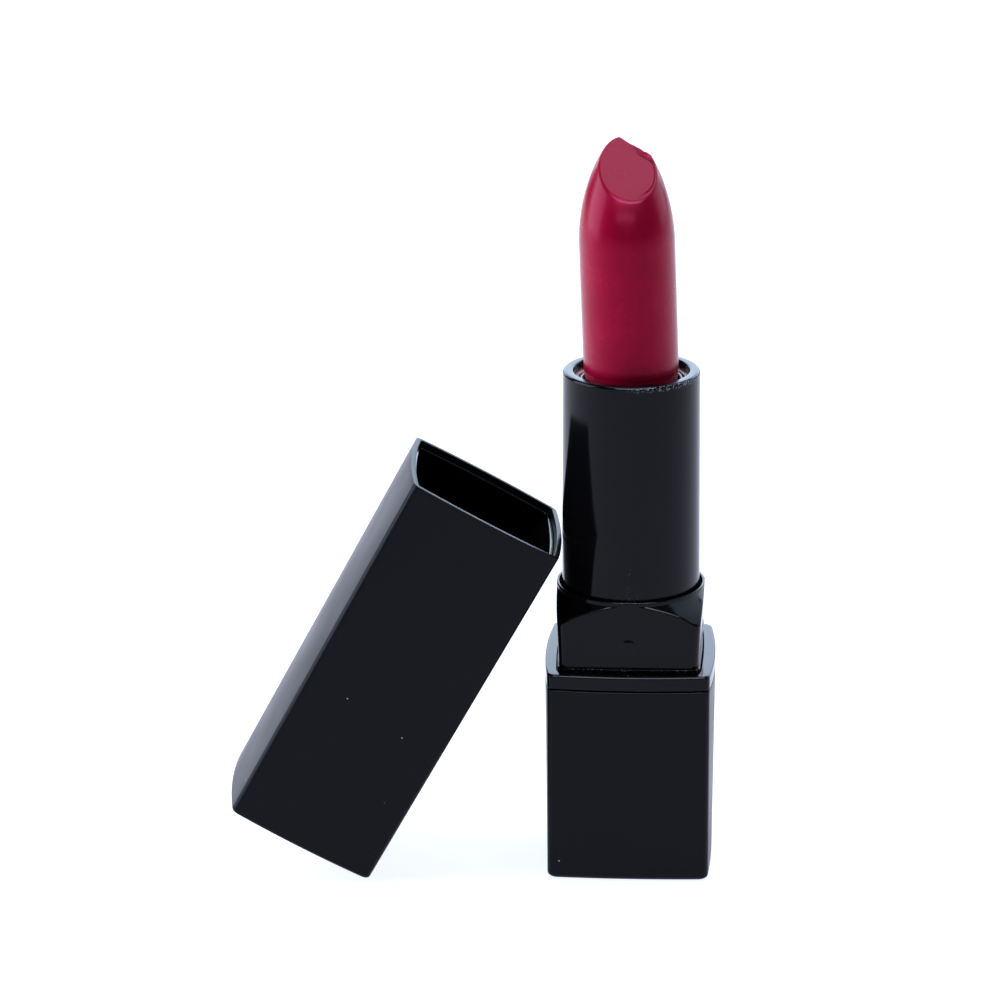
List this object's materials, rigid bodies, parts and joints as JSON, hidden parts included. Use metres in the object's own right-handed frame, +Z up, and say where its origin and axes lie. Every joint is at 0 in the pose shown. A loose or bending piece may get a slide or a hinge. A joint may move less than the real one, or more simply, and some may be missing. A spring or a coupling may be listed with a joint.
{
  "type": "lipstick case",
  "caption": "Square twist-up lipstick case with its bullet raised, and its square cap standing beside it and leaning on the round shell.",
  "frame": {"origin": "middle of the base's underside, on the face it stands on", "axes": "+Z up along the case and the turning axis, -Y the front, -X the side where the cap stands"},
  "size_m": [0.0619, 0.0242, 0.0932],
  "materials": {
    "satin_black": "satin",
    "gloss_black": "gloss",
    "core_plastic": "moulded",
    "cam_plastic": "moulded",
    "ballast_steel": "sawn",
    "silicone": "matt",
    "label_film": "matt",
    "lipstick": "waxy"
  },
  "bodies": {
    "base": {"base_shell": "satin_black", "base_weight": "ballast_steel", "base_core": "core_plastic", "base_label": "label_film", "brake_ring": "silicone", "shoulder_plate": "satin_black", "collar": "gloss_black", "fork_tube": "cam_plastic"},
    "shell": {"cam_sleeve": "cam_plastic", "a_shell": "gloss_black"},
    "cup": {"cup": "gloss_black", "bullet": "lipstick"},
    "cap": {"cap_shell": "satin_black", "cap_liner": "gloss_black"}
  },
  "joints": [
    {"name": "shell_twist", "type": "hinge", "parent": "base", "child": "shell", "pos_m": [0, 0, 0.035], "axis": [0, 0, 1], "range_deg": [0, 450]},
    {"name": "cup_slide", "type": "slide", "parent": "base", "child": "cup", "axis": [0, 0, 1], "range_m": [-0.03, 0]},
    {"name": "cap_lift", "type": "slide", "parent": "base", "child": "cap", "axis": [0, 0, 1], "range_m": [0, 0.1]}
  ],
  "couplings": [
    {"joint": "cup_slide", "follows": "shell_twist", "m_per_rad": -0.0038197}
  ]
}
